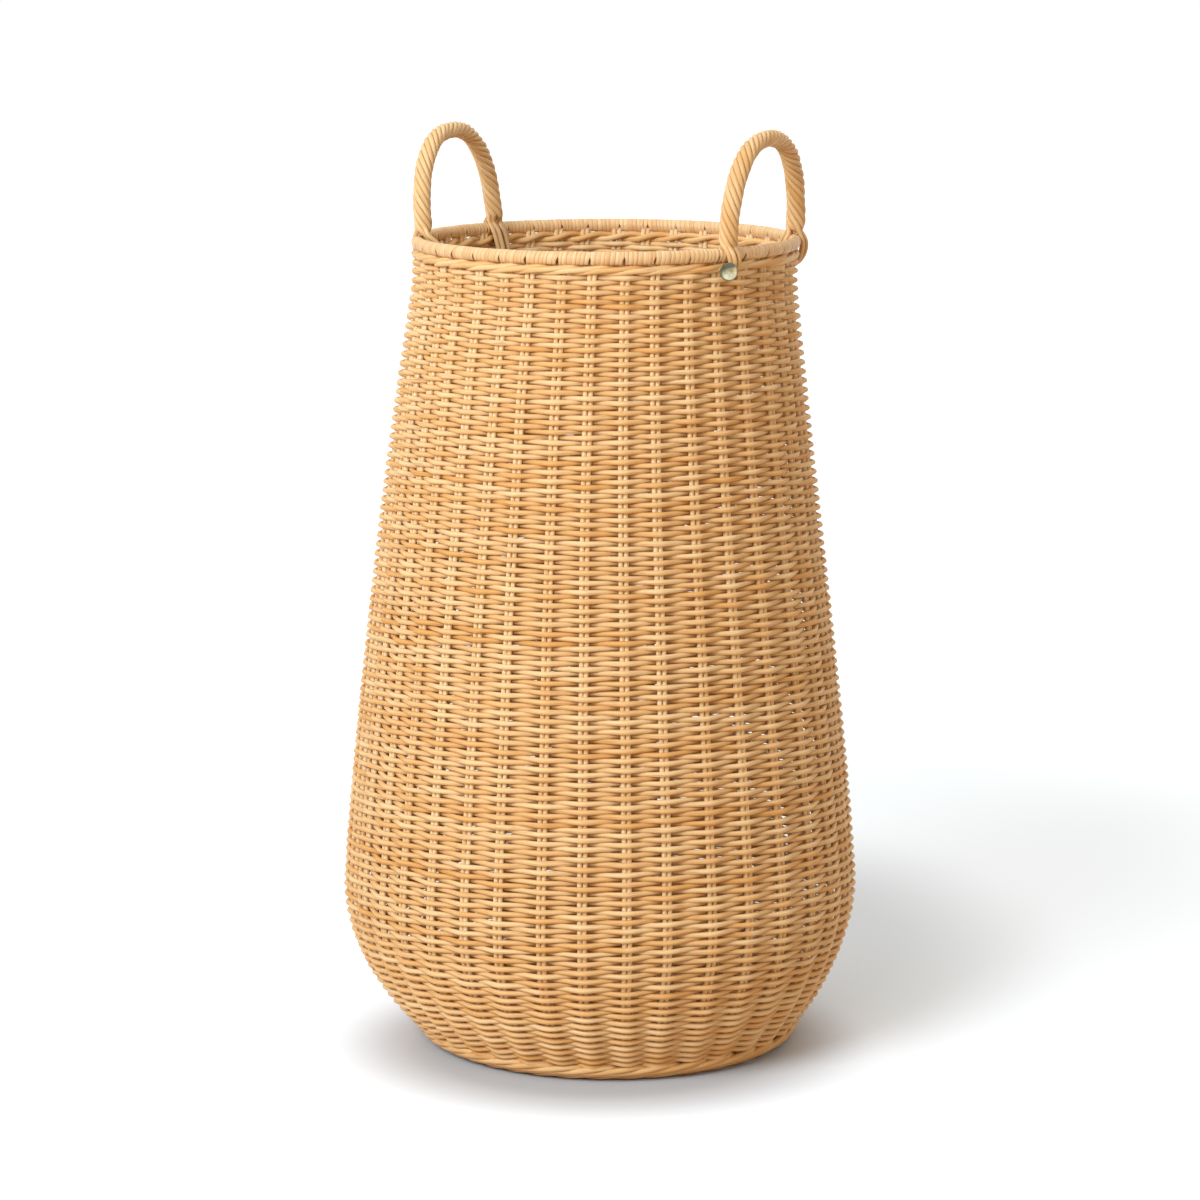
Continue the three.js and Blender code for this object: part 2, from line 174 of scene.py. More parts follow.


# Rods swept along paths and collected into one mesh, with straight rod coordinates for the grain,
# a tone from pale to honey, and a painted shade where the rods lie in shadow
class RodBundle:
    def __init__(self, sides):
        self.sides = sides
        self.points, self.faces, self.grain, self.tones, self.shades = [], [], [], [], []
        self.count = 0

    def add(self, path, normals, radius, tone, shade=0.0, closed=False, outward=None):
        sides, steps = self.sides, len(path)
        if closed:
            tangents = np.roll(path, -1, axis=0) - np.roll(path, 1, axis=0)
        else:
            tangents = np.gradient(path, axis=0)
        tangents /= np.linalg.norm(tangents, axis=1)[:, None]
        up = np.cross(tangents, normals)
        up /= np.linalg.norm(up, axis=1)[:, None]
        out = np.cross(up, tangents)
        turns = np.arange(sides) * math.tau / sides
        radius = np.broadcast_to(radius, steps)[:, None]
        across = radius * np.cos(turns)
        above = radius * np.sin(turns)
        rings = path[:, None] + across[..., None] * out[:, None] + above[..., None] * up[:, None]
        length = np.concatenate([[0], np.cumsum(np.linalg.norm(np.diff(path, axis=0), axis=1))])
        along = np.broadcast_to(length[:, None], (steps, sides)) + self.count * rods["grainShift"]
        self.points.append(rings.reshape(-1, 3))
        self.grain.append(np.stack([along, across, above], axis=-1).reshape(-1, 3))
        self.tones.append(np.repeat(np.broadcast_to(tone, steps), sides))
        fade = np.clip(1 + rods["shadeFade"] * np.cos(turns), 0, 1)
        shades = np.broadcast_to(shade, steps)[:, None] * fade
        # Painted shade on the flanks, where neighbouring rods lie side by side
        if outward is not None:
            facing = ((rings - path[:, None]) * outward[:, None]).sum(axis=2) / radius
            flank = np.clip((rods["grooveEdge"] - np.abs(facing)) / rods["grooveBlur"], 0, 1)
            shades = shades + rods["grooveShade"] * flank
        self.shades.append(shades.ravel())
        self.weaveFaces(steps, closed)
        self.count += steps * sides

    def addRing(self, points, grain, tone, shade):
        self.points.append(points)
        self.grain.append(grain)
        self.tones.append(np.full(self.sides, tone))
        self.shades.append(np.broadcast_to(shade, self.sides))

    def weaveFaces(self, steps, closed):
        sides = self.sides
        rows = np.arange(steps if closed else steps - 1)[:, None]
        columns = np.arange(sides)[None]
        nextRows, nextColumns = (rows + 1) % steps, (columns + 1) % sides
        corners = [rows * sides + columns, rows * sides + nextColumns,
                   nextRows * sides + nextColumns, nextRows * sides + columns]
        quads = np.stack(corners, axis=-1).reshape(-1, 4) + self.count
        self.faces.extend(quads.tolist())
        if not closed:
            last = self.count + (steps - 1) * sides
            self.faces.append(list(range(self.count + sides - 1, self.count - 1, -1)))
            self.faces.append(list(range(last, last + sides)))

    def build(self, name, material, slot, *nodes):
        mesh = bpy.data.meshes.new(name)
        mesh.from_pydata(np.concatenate(self.points).tolist(), [], self.faces)
        grain = mesh.attributes.new("rodSpace", "FLOAT_VECTOR", "POINT")
        grain.data.foreach_set("vector", np.concatenate(self.grain).ravel())
        for key, values in (("tone", self.tones), ("shade", self.shades)):
            mesh.attributes.new(key, "FLOAT", "POINT").data.foreach_set("value", np.concatenate(values))
        piece = bpy.data.objects.new(name, mesh)
        bpy.context.scene.collection.objects.link(piece)
        finishPiece(piece, material, slot, *nodes)


def finishPiece(piece, material, slot, *nodes):
    bpy.ops.object.select_all(action="DESELECT")
    piece.select_set(True)
    bpy.context.view_layer.objects.active = piece
    piece.data.materials.clear()
    piece.data.materials.append(material)
    bpy.ops.object.shade_smooth_by_angle(angle=rods["smoothAngle"] * degree)
    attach(piece, "root")
    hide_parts(*nodes)
    print("  ", piece.name, len(piece.data.polygons), "faces")


# A smooth curve through all the points, in even steps
def smoothThrough(points, spacing):
    points = np.asarray(points, float)
    knots = np.concatenate([[0], np.cumsum(np.linalg.norm(np.diff(points, axis=0), axis=1))])
    slopes = np.gradient(points, knots, axis=0)
    samples = np.linspace(0, knots[-1], int(knots[-1] / spacing) + 2)
    span = np.clip(np.searchsorted(knots, samples, side="right") - 1, 0, len(knots) - 2)
    width = (knots[span + 1] - knots[span])[:, None]
    share = (samples - knots[span])[:, None] / width
    ease = share * share * (3 - 2 * share)
    leave = share * (1 - share) ** 2
    arrive = share ** 2 * (share - 1)
    return (points[span] * (1 - ease) + points[span + 1] * ease
            + width * (leave * slopes[span] + arrive * slopes[span + 1]))


# Normals that follow a path without twisting
def carriedNormals(path, first):
    tangents = np.gradient(path, axis=0)
    tangents /= np.linalg.norm(tangents, axis=1)[:, None]
    normal = np.asarray(first, float)
    normals = []
    for tangent in tangents:
        normal = normal - tangent * normal.dot(tangent)
        normal /= np.linalg.norm(normal)
        normals.append(normal)
    return np.array(normals)


print("materials")


# The output of a shader node, which can be reckoned with
class Wire:
    def __init__(self, finish, socket):
        self.finish, self.socket = finish, socket

    def maths(self, operation, first, second):
        return self.finish.add("ShaderNodeMath", {"operation": operation}, {0: first, 1: second})

    def __add__(self, other):
        return self.maths("ADD", self, other)

    def __sub__(self, other):
        return self.maths("SUBTRACT", self, other)

    def __mul__(self, other):
        return self.maths("MULTIPLY", self, other)

    __radd__ = __add__
    __rmul__ = __mul__


class Finish:
    def __init__(self, name):
        self.material = bpy.data.materials.new(name)
        self.material.use_nodes = True
        self.tree = self.material.node_tree
        self.shader = self.tree.nodes["Principled BSDF"]

    def add(self, kind, settings, inputs, output=0):
        node = self.tree.nodes.new(kind)
        for key, value in settings.items():
            setattr(node, key, value)
        for key, value in inputs.items():
            self.feed(node.inputs[key], value)
        return Wire(self, node.outputs[output])

    def feed(self, socket, value):
        if isinstance(value, Wire):
            self.tree.links.new(value.socket, socket)
        else:
            socket.default_value = value

    def attribute(self, name, output):
        return self.add("ShaderNodeAttribute", {"attribute_name": name}, {}, output)

    def stretch(self, vector, scale):
        return self.add("ShaderNodeVectorMath", {"operation": "MULTIPLY"}, {0: vector, 1: scale})

    def distance(self, vector, other):
        return self.add("ShaderNodeVectorMath", {"operation": "DISTANCE"}, {0: vector, 1: other}, 1)

    def noise(self, vector, scale=1.0, detail=2.0):
        return self.add("ShaderNodeTexNoise", {}, {"Vector": vector, "Scale": scale, "Detail": detail})

    def clamp(self, value):
        return self.add("ShaderNodeClamp", {}, {"Value": value})

    def between(self, value, low, high, toLow=0.0, toHigh=1.0):
        inputs = {"Value": value, "From Min": low, "From Max": high, "To Min": toLow, "To Max": toHigh}
        return self.add("ShaderNodeMapRange", {"interpolation_type": "SMOOTHSTEP"}, inputs)

    def mix(self, share, first, second):
        inputs = {0: share, 6: first, 7: second}
        return self.add("ShaderNodeMix", {"data_type": "RGBA"}, inputs, 2)

    def bump(self, height, strength, distance):
        inputs = {"Height": height, "Strength": strength, "Distance": distance}
        return self.add("ShaderNodeBump", {}, inputs)

    def surface(self, **sockets):
        for name, value in sockets.items():
            self.feed(self.shader.inputs[name.replace("_", " ")], value)


def srgb(red, green, blue):
    levels = [c / 255 for c in (red, green, blue)]
    return [c / 12.92 if c < 0.04045 else ((c + 0.055) / 1.055) ** 2.4 for c in levels] + [1]


rattan = {
    "grain": (55, 1500, 1500),  # fibres about 18 mm long and 0.7 mm wide
    "patch": (16, 90, 90), "bark": (30, 350, 350),
    "blotch": 40.0,  # for a piece without tones of its own
    "toneShare": 0.9, "patchShare": 1.5,
    "fibreStain": (0.52, 0.72, 0.0, 0.38), "barkStain": (0.68, 0.78, 0.0, 0.6),  # from, to, least, most
    "shade": srgb(108, 62, 24),
    "fibreEdges": (0.3, 0.7), "smoother": 0.07, "rougher": 0.12,  # than the finish's own roughness
    "bump": (0.2, 0.0003),  # strength and depth
    "specular": 0.24, "coatRoughness": 0.35,
}


def makeRattan(name, pale, honey, dark, roughness=0.5, coat=0.03, onRods=True):
    finish = Finish(name)
    if onRods:
        space = finish.attribute("rodSpace", "Vector")
        tone = finish.attribute("tone", "Fac")
        shade = finish.attribute("shade", "Fac")
    else:
        space = finish.add("ShaderNodeTexCoord", {}, {}, "Object")
        tone = finish.noise(space, rattan["blotch"])
        shade = 0.0
    fibres = finish.noise(finish.stretch(space, rattan["grain"]), detail=3.0)
    patches = finish.noise(finish.stretch(space, rattan["patch"]))
    bark = finish.noise(finish.stretch(space, rattan["bark"]), detail=4.0)
    warmth = finish.clamp(rattan["toneShare"] * tone + rattan["patchShare"] * (patches - 0.5))
    colour = finish.mix(warmth, pale, honey)
    colour = finish.mix(finish.between(fibres, *rattan["fibreStain"]), colour, dark)
    colour = finish.mix(finish.between(bark, *rattan["barkStain"]), colour, dark)
    smooth, rough = roughness - rattan["smoother"], roughness + rattan["rougher"]
    finish.surface(
        Base_Color=finish.mix(shade, colour, rattan["shade"]),
        Roughness=finish.between(fibres, *rattan["fibreEdges"], smooth, rough),
        Normal=finish.bump(fibres, *rattan["bump"]),
        Specular_IOR_Level=rattan["specular"],
        Coat_Weight=coat,
        Coat_Roughness=rattan["coatRoughness"],
    )
    return finish.material


weaverFinish = makeRattan("weaverRattan", srgb(248, 214, 161), srgb(231, 176, 104), srgb(160, 94, 41))
stakeFinish = makeRattan("stakeRattan", srgb(251, 229, 186), srgb(242, 202, 144), srgb(176, 113, 56))
footFinish = makeRattan("footRattan", srgb(241, 206, 150), srgb(227, 172, 104), srgb(158, 94, 42))
handleFinish = makeRattan("handleRattan", srgb(246, 212, 160), srgb(228, 180, 116), srgb(152, 95, 44),
                          0.42, 0.07)
peelFinish = makeRattan("peelRattan", srgb(246, 211, 161), srgb(233, 185, 128), srgb(166, 107, 55),
                        0.36, 0.12)
coreFinish = makeRattan("coreRattan", srgb(226, 180, 120), srgb(196, 140, 80), srgb(130, 78, 38),
                        0.6, 0.0, False)
brass = {
    "bright": srgb(200, 192, 162), "dull": srgb(146, 138, 106), "patinaAndReflection": srgb(62, 64, 44),
    "cloud": 170.0, "dullness": (0.4, 0.65, 0.0, 0.8),
    "scratch": (900, 900, 9000), "roughness": (0.3, 0.7, 0.14, 0.26), "bump": (0.08, 0.0001),
}


def makeBrass():
    finish = Finish("agedBrass")
    space = finish.add("ShaderNodeTexCoord", {}, {}, "Object")
    dullness = finish.between(finish.noise(space, brass["cloud"]), *brass["dullness"])
    scratch = finish.noise(finish.stretch(space, brass["scratch"]))
    colour = finish.mix(dullness, brass["bright"], brass["dull"])
    finish.surface(
        # the dark colour is patina near the badge's rim and a painted dark reflection over its top and left
        # side
        Base_Color=finish.mix(finish.attribute("shade", "Fac"), colour, brass["patinaAndReflection"]),
        Metallic=1.0,
        Roughness=finish.between(scratch, *brass["roughness"]),
        Normal=finish.bump(scratch, *brass["bump"]),
    )
    return finish.material


brassFinish = makeBrass()

print("weave")
weave = {
    "first": 0.0135, "last": 0.5815,  # heights of the lowest and highest row
    "pitch": 0.00336, "bowlPitch": 0.00322, "bowlTop": 0.070,
    "reach": 0.0036, "stakeRadius": 0.00202, "crossRadius": 0.00182,
    "stepsPerPair": 8, "sides": 8, "tableSteps": 2000,
    "drift": 0.0007, "driftPace": 3, "driftRise": 0.22,  # shared by neighbouring rows
    "shake": 0.00026, "shakePace": 11, "swell": 0.05, "swellPace": 2,
    "tautness": 0.95, "bowlTautness": 0.80,  # 1 is a straight run between stakes
    "tautFrom": 0.02, "tautTo": 0.10,  # heights where the bowl's tautness gives way to the wall's
    "level": 0.3,  # 0 lets a rod cross level, 1 square to the wall
    "seamPair": 9,  # where each row's ends meet, unseen inside
    "recessShade": 0.47,  # painted shade: how much darker a rod is where it passes inside
    "nestle": 1.25,  # above 1 a rod keeps to the middle of the wall for longer between the stakes
    "shortStick": 50, "longStick": 140, "stickUnits": 4,  # a weaver's length, in quarters of a pair
    "tone": (0.42, 0.27), "deepest": 1.15,
}
weaveBands = [  # piece, CAD node and the share of all rows at its top
    ("bowlWeave", "siding_lower", 0.226),
    ("bellyWeave", "siding_middle", 0.380),
    ("waistWeave", "siding_middle", 0.535),
    ("ribWeave", "siding_upper", 0.690),
    ("shoulderWeave", "siding_upper", 0.845),
    ("neckWeave", "siding_upper", 1.0),
]


# Heights up the wall, how many rows lie below each, and the number of rows
def rowTable():
    heights = np.linspace(weave["first"], weave["last"], weave["tableSteps"])
    pitch = np.interp(heights, [weave["first"], weave["bowlTop"]], [weave["bowlPitch"], weave["pitch"]])
    run = np.hypot(1, wallSlope(heights)) * (heights[1] - heights[0])
    rowsAt = np.concatenate([[0], np.cumsum(run[:-1] / pitch[:-1])])
    lastRow = int(rowsAt[-1])
    return heights, rowsAt * lastRow / rowsAt[-1], lastRow + 1


# One row, which passes outside one pair of stakes and inside the next
def weaverRow(row, along, heights, rowsAt):
    bearing = bearingAt(along)
    turn = bearing * degree
    rise = weave["driftRise"] * row
    lift = weave["drift"] * roundWaves(turn, weave["driftPace"], rise, seed=5, count=9)
    lift = lift + weave["shake"] * roundWaves(turn, weave["shakePace"], seed=100 + row, count=5)
    height = np.interp(row + lift / weave["pitch"], rowsAt, heights)
    taut = np.interp(height[0], [weave["tautFrom"], weave["tautTo"]],
                     [weave["bowlTautness"], weave["tautness"]])
    sway = np.arcsin(taut * np.cos(math.pi * (along + row))) / math.asin(taut)
    sway = np.sign(sway) * np.abs(sway) ** weave["nestle"]
    radius = weave["crossRadius"] + (weave["stakeRadius"] - weave["crossRadius"]) * sway ** 2
    radius = radius * (1 + weave["swell"] * roundWaves(turn, weave["swellPace"], seed=300 + row, count=3))
    normal = wallNormal(bearing, height)
    across = normal * (1, 1, weave["level"])
    across = across / (across * normal).sum(axis=1)[:, None]
    path = onWall(bearing, height) + across * (weave["reach"] * sway)[:, None]
    # the last value is a painted shade, darkest where the rod passes inside, behind the stakes
    return path, normal, radius, weave["recessShade"] * (0.5 - 0.5 * sway) ** 2


# Each weaver goes part of the way round, and the next may be paler or darker
def stickTones(dice, count):
    tones = np.zeros(count)
    start = 0
    while start < count:
        units = dice.integers(weave["shortStick"], weave["longStick"])
        length = weave["stepsPerPair"] * int(units / weave["stickUnits"])
        tones[start:start + length] = diceTone(dice, weave["tone"], weave["deepest"])
        start += length
    return tones


def makeWeave():
    heights, rowsAt, rowCount = rowTable()
    dice = np.random.default_rng(11)
    steps = weave["stepsPerPair"]
    row = 0
    for name, node, share in weaveBands:
        bundle = RodBundle(weave["sides"])
        while row < round(share * rowCount):
            along = weave["seamPair"] + row % 2 + np.arange(pairs * steps) / steps
            path, normal, radius, shade = weaverRow(row, along, heights, rowsAt)
            bundle.add(path, normal, radius, stickTones(dice, len(along)), shade, closed=True)
            row += 1
        bundle.build(name, weaverFinish, "weaver_rods", node)


makeWeave()

print("stakes")


def makeStakes():
    bundle = RodBundle(stakes["sides"])
    dice = np.random.default_rng(7)
    height = np.arange(stakes["foot"], stakes["top"], stakes["step"])
    height = np.append(height, stakes["top"])
    side = stakes["rodRadius"] + stakes["gap"] / 2
    for pair in range(pairs):
        for hand in (-1, 1):
            seed = 900 + 2 * pair + hand
            waver = stakes["waver"] * waves(height * stakes["waverPace"], seed=seed, count=4)
            middle = outerRadius(height) - body["wall"] / 2
            bearing = pairBearings[pair] + (hand * side + waver) / middle / degree
            tone = diceTone(dice, stakes["tone"])
            bundle.add(onWall(bearing, height), wallNormal(bearing, height), stakes["rodRadius"], tone)
    nodes = [f"stake_pair_{pair + 1:02d}" for pair in range(pairs)]
    bundle.build("pairedStakes", stakeFinish, "stake_rods", *nodes)


makeStakes()

print("wale and foot border")
wale = {
    "rounds": 3, "steps": 8, "sides": 10, "radius": 0.0022, "reach": 0.0038, "rise": 0.0021,
    "height": 0.5869, "lag": 34.6, "waver": 0.0003, "waverPace": 14, "swell": 0.06, "swellPace": 8,
    "tone": (0.4, 0.25), "tonePace": 6,
}
footBorder = {
    "rounds": 5, "steps": 7, "sides": 10, "radius": 0.0024, "reach": 0.0036, "rise": 0.0046,
    "circle": 0.1350, "lag": 50.0, "splay": 1.2, "tone": (0.5, 0.25), "tonePace": 6,
}


# Rods that pass in front of all pairs of a round but one, each starting a pair after the last
def twistedRing(plan):
    along = pairs / 2 + np.arange(plan["rounds"] * pairs * plan["steps"]) / plan["steps"]
    step = 360 / plan["rounds"] * (along - 0.5) * degree
    turn = step - plan["lag"] * degree * np.sin(step)
    return along, plan["reach"] * np.cos(turn), plan["rise"] * np.sin(turn)


def ringTones(plan, turn, seed):
    middle, spread = plan["tone"]
    return np.clip(middle + spread * roundWaves(turn, plan["tonePace"], seed=seed, count=6), 0, 1)


def makeWale():
    along, off, rise = twistedRing(wale)
    bearing = bearingAt(along)
    turn = bearing / wale["rounds"] * degree
    waver = wale["waver"] * roundWaves(turn, wale["waverPace"], seed=21, count=6)
    height = wale["height"] + rise + waver
    thick = wale["radius"] * (1 + wale["swell"] * roundWaves(turn, wale["swellPace"], seed=23, count=5))
    out = wallNormal(bearing, height)
    bundle = RodBundle(wale["sides"])
    bundle.add(onWall(bearing, height, off), out, thick, ringTones(wale, turn, 22), closed=True, outward=out)
    bundle.build("topWaleRods", weaverFinish, "weaver_rods", "top_wale")


def makeFootBorder():
    along, off, rise = twistedRing(footBorder)
    bearing = bearingAt(along)
    height = footBorder["rise"] + footBorder["radius"] + rise
    path = atRadius(footBorder["circle"] + off + rise * footBorder["splay"], bearing, height)
    out = wallNormal(bearing, height) * (1, 1, 0)
    tones = ringTones(footBorder, bearing / footBorder["rounds"] * degree, 32)
    bundle = RodBundle(footBorder["sides"])
    bundle.add(path, out, footBorder["radius"], tones, closed=True, outward=out)
    bundle.build("footBorderRods", footFinish, "foot_rods", "foot_border")


makeWale()
makeFootBorder()

print("rim")
rimWrap = {
    "stripsPerPair": 7, "sides": 20, "radius": 0.0044, "tall": 1.1, "drop": 0.0005, "lead": 0.08,
    "widths": (0.75, 1.25), "proud": 0.00012, "tone": (0.4, 0.25), "grainShift": 0.013,
    "profile": ((0.0, 1.0), (0.09, 0.15), (0.5, 0.0), (0.91, 0.15), (1.0, 1.0)),  # across, dip
    "edgeDip": 0.00024, "seam": 0.45, "slant": 0.0009, "slants": (0.4, 1.3), "innerSlant": 0.9,
    "slitHalf": 0.0010, "slitWidths": (0.5, 1.3), "slitDepth": 0.0026, "slitShade": 0.9,
    "slitTop": 0.32, "slitFull": -0.3,
    "slitGive": 9,  # the higher, the fewer strips beside a slit give way to it
}


# Flat peel wound side by side round the hoop, parted below where it goes through the weave
def makeRim():
    sides, strips = rimWrap["sides"], rimWrap["stripsPerPair"]
    section = -math.pi / 2 + np.arange(sides) * math.tau / sides
    slitRise = rimWrap["slitTop"] - rimWrap["slitFull"]
    parted = np.clip((rimWrap["slitTop"] - np.sin(section)) / slitRise, 0, 1)
    shell = RodBundle(sides)
    dice = np.random.default_rng(41)
    for pair in range(pairs):
        widths = dice.uniform(*rimWrap["widths"], strips)
        edges = np.concatenate([[0], np.cumsum(widths) / widths.sum()])
        wide = dice.uniform(*rimWrap["slitWidths"])
        slant = rimWrap["slant"] * dice.uniform(*rimWrap["slants"]) * np.sin(section)
        half = rimWrap["slitHalf"] * wide * parted
        for strip in range(strips):
            tone = diceTone(dice, rimWrap["tone"])
            proud = dice.uniform(-rimWrap["proud"], rimWrap["proud"])
            last = strip == strips - 1
            for spot, dip in rimWrap["profile"] if last else rimWrap["profile"][:-1]:
                atSlit = (strip, spot) in ((0, 0.0), (strips - 1, 1.0))
                share = edges[strip] + (edges[strip + 1] - edges[strip]) * spot
                shift = slant * (1 if atSlit else rimWrap["innerSlant"])
                shift = shift + half * (1 - 2 * share) ** rimWrap["slitGive"]
                radius = rimWrap["radius"] + proud - rimWrap["edgeDip"] * dip * np.ones(sides)
                points = ringPoints(pair, share, shift, radius, section)
                # painted shade in the creases where neighbouring strips meet
                shade = rimWrap["seam"] if dip == 1.0 else 0.0
                shell.addRing(points, grainPoints(pair, strip, share, section), tone, shade)
        # painted shade in the slit, darkest where the peel is parted
        radius = rimWrap["radius"] - rimWrap["edgeDip"] - rimWrap["slitDepth"] * parted * min(wide, 1)
        points = ringPoints(pair, 1.0, slant, radius, section)
        shade = np.clip(rimWrap["seam"] + parted, 0, rimWrap["slitShade"])
        shell.addRing(points, grainPoints(pair, strips - 1, 1.0, section), 1.0, shade)
    shell.weaveFaces(len(shell.points), True)
    shell.build("rimWrap", peelFinish, "rim_peel", "rim_lashing")


def ringPoints(pair, share, shift, radius, section):
    bearing = bearingAt(np.array(pair + share - rimWrap["lead"])) + shift / hoopRadius / degree
    height = hoopHeight - rimWrap["drop"] + rimWrap["tall"] * radius * np.sin(section)
    points = atRadius(hoopRadius + radius * np.cos(section), bearing, height)
    points[:, 0] += body["rimShift"] - centreShift(height)
    return points


def grainPoints(pair, strip, share, section):
    across = share * (hoopRadius * math.tau / pairs)
    deep = (pair * rimWrap["stripsPerPair"] + strip) * rimWrap["grainShift"]
    return np.stack([section * rimWrap["radius"], across + 0 * section, deep + 0 * section], axis=-1)


makeRim()

print("handles")
handles = {
    "spread": 27.7, "rise": 0.0727, "roundness": 2.41, "steps": 400,
    "strands": 7, "sides": 14, "turning": 128.0,  # radians per metre of the arch
    "topStrand": 0.00184, "topOrbit": 0.00424, "topWidth": 0.035,
    "legStrand": 0.00197, "legOrbit": 0.00480,  # the strands are thicker and looser on the legs
    "tailStrand": 0.00170, "taper": 0.006, "thickness": (0.94, 1.06),
    "waver": 0.00018, "waverPace": 90, "spacing": 0.0013, "layer": 0.0026, "tone": (0.45, 0.25),
    "swing": 50.0,  # how far round from the outside the strands lie that will pass outside the rim
}
# Each handle's place, offset, lean, first angle and stoutness, and which end is nearer to the camera.
# Each foot: strands that pass outside the rim, how far those bulge, how far the others keep inside,
# the spacing above and below the rim, the start and drift along it, how much lower they end, and
# how high above the rim they part
handlePlans = [  # phases in radians
    {"name": "left", "bearing": -113.2, "legOffset": -0.0028, "lean": 0.0068, "phase": 0.4, "stout": 0.98,
     "nearEnd": 1,
     "near": {"outside": 1, "bulge": -0.0040, "inside": 0.0050, "above": 0.0030, "below": 0.0026,
              "start": 0.0, "drift": -0.003, "low": 0.0, "fork": 0.006},
     "far": {"outside": 2, "bulge": 0.0, "inside": 0.0006, "above": 0.0026, "below": 0.0024,
             "start": 0.0, "drift": -0.004, "low": 0.0, "fork": 0.006}},
    {"name": "right", "bearing": 65.8, "legOffset": 0.0030, "lean": 0.0036, "phase": 1.1, "stout": 1.04,
     "nearEnd": -1,
     "near": {"outside": 5, "bulge": 0.0, "inside": 0.0, "above": 0.0025, "below": 0.0017,
              "start": -0.0010, "drift": 0.0034, "low": 0.0, "fork": 0.004},
     "far": {"outside": 4, "bulge": 0.0, "inside": 0.0, "above": 0.0028, "below": 0.0026,
             "start": 0.0, "drift": 0.001, "low": 0.006, "fork": 0.006}},
]
wallMiddle = body["neckRadius"] - body["wall"] / 2
rimReach = rimWrap["radius"] + handles["tailStrand"]
tailOutside = [  # height, radius, share of the bulge, and how far the strand has gone along the rim
    (0.6012, hoopRadius + 0.6 * rimReach, 0.6, 0.20), (0.5950, hoopRadius + rimReach, 1.0, 0.50),
    (0.5900, hoopRadius + 0.9 * rimReach, 1.0, 0.80), (0.5865, hoopRadius + 0.5 * rimReach, 0.6, 1.0),
    (0.5820, wallMiddle + 0.0005, 0.2, 1.0), (0.5780, wallMiddle - 0.0010, 0.0, 1.0),
]
tailInside = [
    (0.6010, hoopRadius - 0.6 * rimReach, 0.5, 0.20), (0.5950, hoopRadius - 1.05 * rimReach, 1.0, 0.45),
    (0.5880, hoopRadius - 1.4 * rimReach, 1.0, 0.70), (0.5810, hoopRadius - 1.65 * rimReach, 1.0, 0.9),
    (0.5740, hoopRadius - 1.6 * rimReach, 0.8, 1.0), (0.5670, wallMiddle - 0.003, 0.0, 1.0),
]


# The arch from its nearer to its farther foot, and the direction in which it leans
def handleArch(plan):
    legRadius = wallMiddle + plan["legOffset"]
    turn = plan["bearing"] * degree
    out = np.array([math.sin(turn), -math.cos(turn), 0])
    along = np.array([-out[1], out[0], 0])
    middle = out * legRadius * math.cos(handles["spread"] * degree)
    middle[0] += body["rimShift"]
    half = legRadius * math.sin(handles["spread"] * degree)
    angle = np.linspace(0, math.pi, 4 * handles["steps"] + 1)  # finer than the even steps below
    power = 2 / handles["roundness"]
    across = plan["nearEnd"] * np.sign(np.cos(angle)) * np.abs(np.cos(angle)) ** power
    rise = np.sin(angle).clip(0, 1) ** power
    path = middle + along * (across * half)[:, None] + out * (plan["lean"] * rise)[:, None]
    path[:, 2] = body["rimHeight"] + body["clearance"] + handles["rise"] * rise
    length = np.concatenate([[0], np.cumsum(np.linalg.norm(np.diff(path, axis=0), axis=1))])
    even = np.linspace(0, length[-1], handles["steps"] + 1)
    arch = np.stack([np.interp(even, length, path[:, axis]) for axis in range(3)], axis=-1)
    return arch, even, out


# Strands wound evenly and left-handed round the arch, more slender over its top
def woundStrands(plan):
    arch, length, lean = handleArch(plan)
    tangents = np.gradient(arch, axis=0)
    tangents /= np.linalg.norm(tangents, axis=1)[:, None]
    outer = np.cross(lean, tangents)
    outer /= np.linalg.norm(outer, axis=1)[:, None]
    outer *= np.sign(outer[len(outer) // 2][2])
    beside = np.cross(tangents, outer)
    top = np.exp(-((length - length[-1] / 2) / handles["topWidth"]) ** 2)
    kept = (length > plan["near"]["fork"]) & (length < length[-1] - plan["far"]["fork"])
    strands = []
    for strand in range(handles["strands"]):
        angle = plan["phase"] + handles["turning"] * length + math.tau * strand / handles["strands"]
        orbit = handles["legOrbit"] * plan["stout"] * (1 - top) + handles["topOrbit"] * top
        waver = waves(length * handles["waverPace"], seed=70 + strand, count=3)
        orbit = orbit + handles["waver"] * waver
        path = arch + orbit[:, None] * (np.cos(angle)[:, None] * outer - np.sin(angle)[:, None] * beside)
        strands.append(path[kept])
    return arch, strands, top


# Below the legs the strands part, and pass outside and inside the rim into the weave
def tailsAt(bearing, foot, starts):
    turn = bearing * degree
    radial = np.array([math.sin(turn), -math.cos(turn), 0])
    lateral = np.array([math.cos(turn), math.sin(turn), 0])
    axis = np.array([body["rimShift"], 0, 0])
    reach = (starts - axis) @ radial
    sideways = (starts - axis) @ lateral
    swing = handles["swing"] * degree
    order = np.argsort(sideways * math.sin(swing) - reach * math.cos(swing))
    groups = [(order[:foot["outside"]], tailOutside, 1), (order[foot["outside"]:], tailInside, -1)]
    tails = [None] * len(starts)
    for members, stations, way in groups:
        ranked = sorted(members, key=lambda strand: sideways[strand])
        for rank, strand in enumerate(ranked):
            slot = rank - (len(ranked) - 1) / 2
            above, below = slot * foot["above"] + foot["start"], slot * foot["below"] + foot["drift"]
            beyond = foot["bulge"] if way > 0 else foot["inside"] * rank / max(len(ranked) - 1, 1)
            off = way * (beyond + handles["layer"] * (rank % 2))
            tails[strand] = [
                axis + radial * (radius + off * bulge)
                + lateral * (above + (below - above) * share)
                + (0, 0, height - foot["low"] * max(share - 0.5, 0) * 2)
                for height, radius, bulge, share in stations
            ]
    return tails


